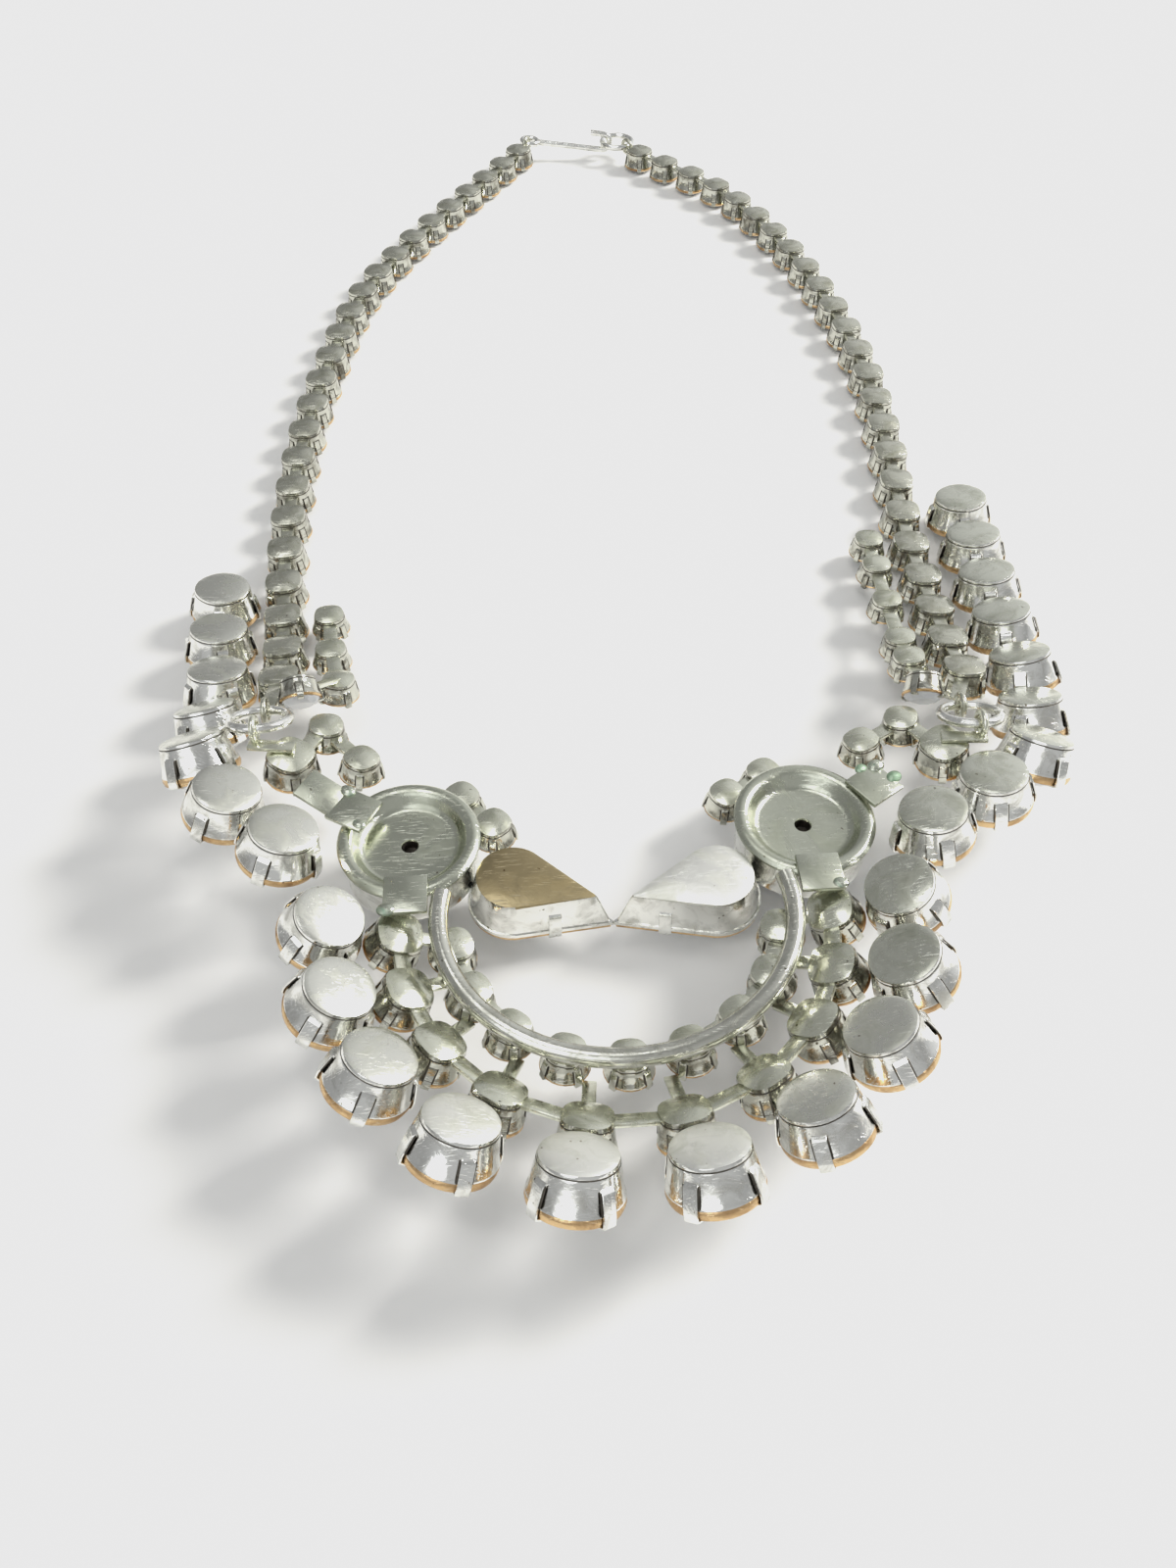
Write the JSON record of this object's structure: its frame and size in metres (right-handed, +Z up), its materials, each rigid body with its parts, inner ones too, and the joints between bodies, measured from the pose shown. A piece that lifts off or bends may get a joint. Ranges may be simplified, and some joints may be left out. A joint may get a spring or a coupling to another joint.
{
  "type": "bib necklace",
  "caption": "Silver-tone bib necklace of closed-back set clear stones, lying face-down, with chains of set stones and a hook clasp.",
  "frame": {"origin": "on the surface it lies on, under the middle of the necklace's bounding box", "axes": "+X across the bib to its right side as it lies face-down, +Y from the bib to the clasp, +Z up, away from the stones' faces"},
  "size_m": [0.1076, 0.2282, 0.0154],
  "materials": {
    "bright_silver": "bright, lightly worn",
    "satin_silver": "satin, scratched",
    "tan_metal": "dull golden tan",
    "clear_stone": "clear cut stone",
    "gold_foil": "copper-gold foil behind the stones"
  },
  "bodies": {
    "root": {"outer_stone_left_01": "bright_silver", "outer_stone_left_02": "bright_silver", "outer_stone_left_03": "bright_silver", "outer_stone_left_04": "bright_silver", "outer_stone_left_05": "bright_silver", "outer_stone_left_06": "bright_silver", "outer_stone_left_07": "bright_silver", "outer_stone_left_08": "bright_silver", "outer_stone_left_09": "bright_silver", "outer_stone_left_10": "bright_silver", "outer_stone_left_11": "bright_silver", "outer_stone_left_12": "bright_silver", "outer_stone_right_01": "bright_silver", "outer_stone_right_02": "bright_silver", "outer_stone_right_03": "bright_silver", "outer_stone_right_04": "bright_silver", "outer_stone_right_05": "bright_silver", "outer_stone_right_06": "bright_silver", "outer_stone_right_07": "bright_silver", "outer_stone_right_08": "bright_silver", "outer_stone_right_09": "bright_silver", "outer_stone_right_10": "bright_silver", "outer_stone_right_11": "bright_silver", "outer_stone_right_12": "bright_silver", "outer_stone_right_13": "bright_silver", "outer_stone_right_14": "bright_silver", "middle_row": "satin_silver", "inner_row": "satin_silver", "crescent_rod": "bright_silver", "round_setting_left": "satin_silver", "round_setting_right": "satin_silver", "halo_left": "satin_silver", "halo_right": "satin_silver", "pear_setting_left": "tan_metal", "pear_setting_right": "bright_silver", "solder_plate_left_lower": "satin_silver", "solder_plate_right_lower": "satin_silver", "solder_plate_left_upper": "satin_silver", "solder_plate_right_upper": "satin_silver", "joining_ring_left": "bright_silver", "joining_ring_right": "bright_silver", "back_chain_left": "bright_silver", "back_chain_right": "bright_silver", "shoulder_row_left": "satin_silver", "shoulder_row_right": "satin_silver", "panel_row_left": "satin_silver", "panel_row_right": "satin_silver", "clasp_hook": "bright_silver", "clasp_ring": "bright_silver"}
  },
  "joints": []
}
